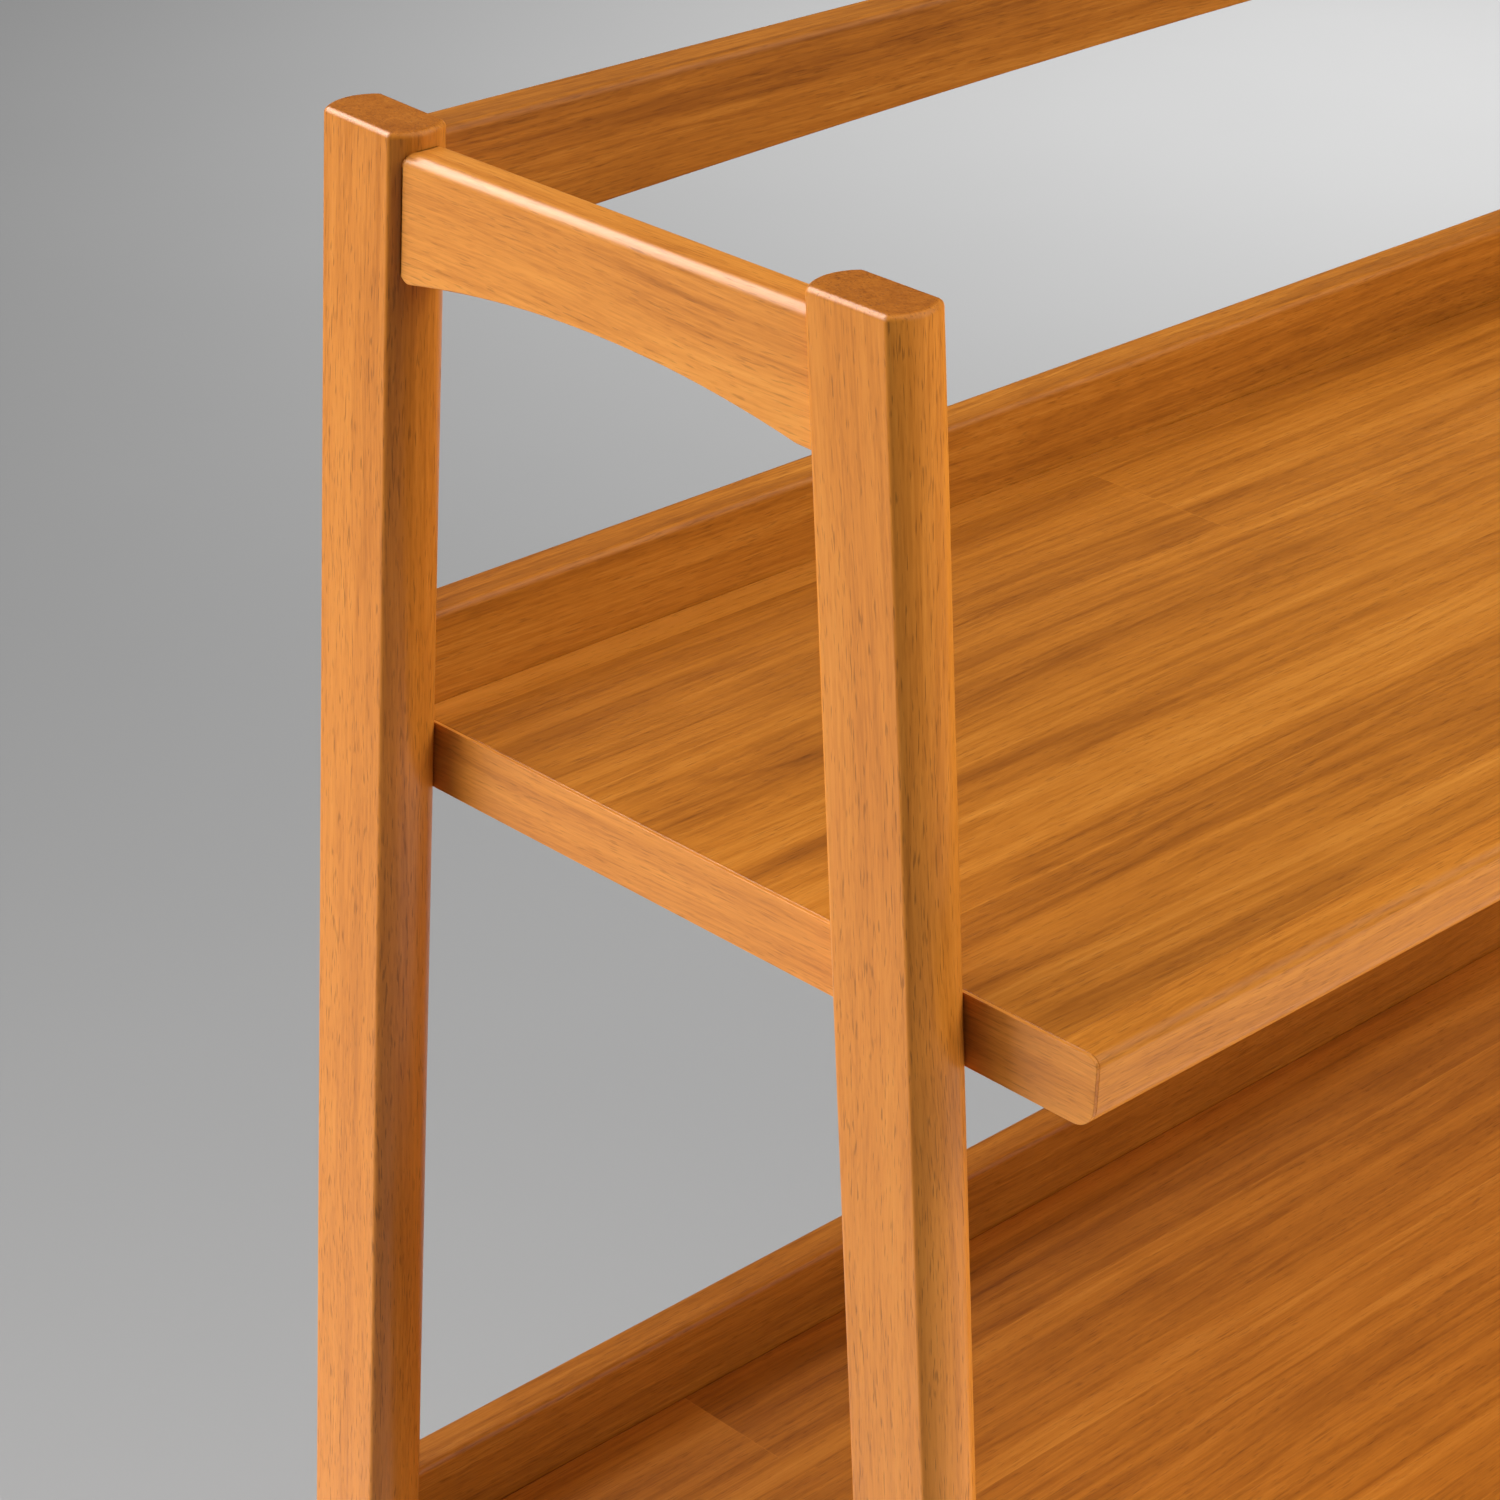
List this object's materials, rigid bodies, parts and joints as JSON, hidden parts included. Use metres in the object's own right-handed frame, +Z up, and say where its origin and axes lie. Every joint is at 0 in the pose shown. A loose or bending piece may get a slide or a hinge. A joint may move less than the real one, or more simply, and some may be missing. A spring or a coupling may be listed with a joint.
{
  "type": "ladder shelf",
  "caption": "Tall open ladder shelf in honey-toned wood: two leaning side frames, graduated shelves with rounded front edges and raised back lips, and screw-out levelling feet.",
  "frame": {"origin": "on the floor, under the middle of the shelf's outline", "axes": "+X to the right as seen from the front, -Y towards the front, +Z up"},
  "size_m": [0.965, 0.567, 1.93],
  "materials": {
    "frame_wood": "satin clear lacquer over honey-stained hardwood, grain along each piece",
    "shelf_wood": "satin clear lacquer over streaky glued-up boards, grain along the shelf",
    "nosing_wood": "satin clear lacquer, rounded front edge",
    "lip_wood": "satin clear lacquer, rounded edges",
    "band_wood": "satin clear lacquer over thin edge band",
    "beech": "raw turned dowel",
    "zinc": "zinc plated",
    "insert_steel": "dark passivated steel",
    "nylon": "moulded dark brown nylon"
  },
  "bodies": {
    "frame": {"rear_post_left": "frame_wood", "rear_post_right": "frame_wood", "front_post_left": "frame_wood", "front_post_right": "frame_wood", "side_rail_left": "frame_wood", "side_rail_right": "frame_wood", "back_rail": "frame_wood", "shelf_panel_1": "shelf_wood", "shelf_nosing_1": "nosing_wood", "shelf_lip_1": "lip_wood", "shelf_panel_2": "shelf_wood", "shelf_nosing_2": "nosing_wood", "shelf_lip_2": "lip_wood", "shelf_panel_3": "shelf_wood", "shelf_nosing_3": "nosing_wood", "shelf_lip_3": "lip_wood", "shelf_panel_4": "shelf_wood", "shelf_nosing_4": "nosing_wood", "shelf_lip_4": "lip_wood", "shelf_panel_5": "shelf_wood", "shelf_nosing_5": "nosing_wood", "shelf_lip_5": "lip_wood", "shelf_end_bands": "band_wood", "cam_bolts": "zinc", "cam_discs": "zinc", "bolt_inserts": "insert_steel", "end_dowels": "beech", "side_rail_dowels": "beech", "lip_dowels": "beech", "foot_inserts": "insert_steel", "wall_bracket": "zinc", "wall_bracket_screws": "insert_steel"},
    "pad_front_left": {"foot_pad_front_left": "nylon"},
    "stem_front_left": {"foot_stem_front_left": "zinc"},
    "pad_front_right": {"foot_pad_front_right": "nylon"},
    "stem_front_right": {"foot_stem_front_right": "zinc"},
    "pad_rear_left": {"foot_pad_rear_left": "nylon"},
    "stem_rear_left": {"foot_stem_rear_left": "zinc"},
    "pad_rear_right": {"foot_pad_rear_right": "nylon"},
    "stem_rear_right": {"foot_stem_rear_right": "zinc"}
  },
  "joints": [
    {"name": "pad_drop_front_left", "type": "slide", "parent": "frame", "child": "pad_front_left", "axis": [0, 0, -1], "range_m": [0, 0.0121]},
    {"name": "stem_turn_front_left", "type": "hinge", "parent": "pad_front_left", "child": "stem_front_left", "pos_m": [-0.47, -0.22916, 0.02], "axis": [0, 0, -1], "range_deg": [0, 3456]},
    {"name": "pad_drop_front_right", "type": "slide", "parent": "frame", "child": "pad_front_right", "axis": [0, 0, -1], "range_m": [0, 0.0121]},
    {"name": "stem_turn_front_right", "type": "hinge", "parent": "pad_front_right", "child": "stem_front_right", "pos_m": [0.47, -0.22916, 0.02], "axis": [0, 0, -1], "range_deg": [0, 3456]},
    {"name": "pad_drop_rear_left", "type": "slide", "parent": "frame", "child": "pad_rear_left", "axis": [0, 0, -1], "range_m": [0, 0.0121]},
    {"name": "stem_turn_rear_left", "type": "hinge", "parent": "pad_rear_left", "child": "stem_rear_left", "pos_m": [-0.47, 0.26246, 0.02], "axis": [0, 0, -1], "range_deg": [0, 3456]},
    {"name": "pad_drop_rear_right", "type": "slide", "parent": "frame", "child": "pad_rear_right", "axis": [0, 0, -1], "range_m": [0, 0.0121]},
    {"name": "stem_turn_rear_right", "type": "hinge", "parent": "pad_rear_right", "child": "stem_rear_right", "pos_m": [0.47, 0.26246, 0.02], "axis": [0, 0, -1], "range_deg": [0, 3456]}
  ],
  "couplings": [
    {"joint": "pad_drop_front_left", "follows": "stem_turn_front_left", "m_per_rad": 0.00019894},
    {"joint": "pad_drop_front_right", "follows": "stem_turn_front_right", "m_per_rad": 0.00019894},
    {"joint": "pad_drop_rear_left", "follows": "stem_turn_rear_left", "m_per_rad": 0.00019894},
    {"joint": "pad_drop_rear_right", "follows": "stem_turn_rear_right", "m_per_rad": 0.00019894}
  ]
}
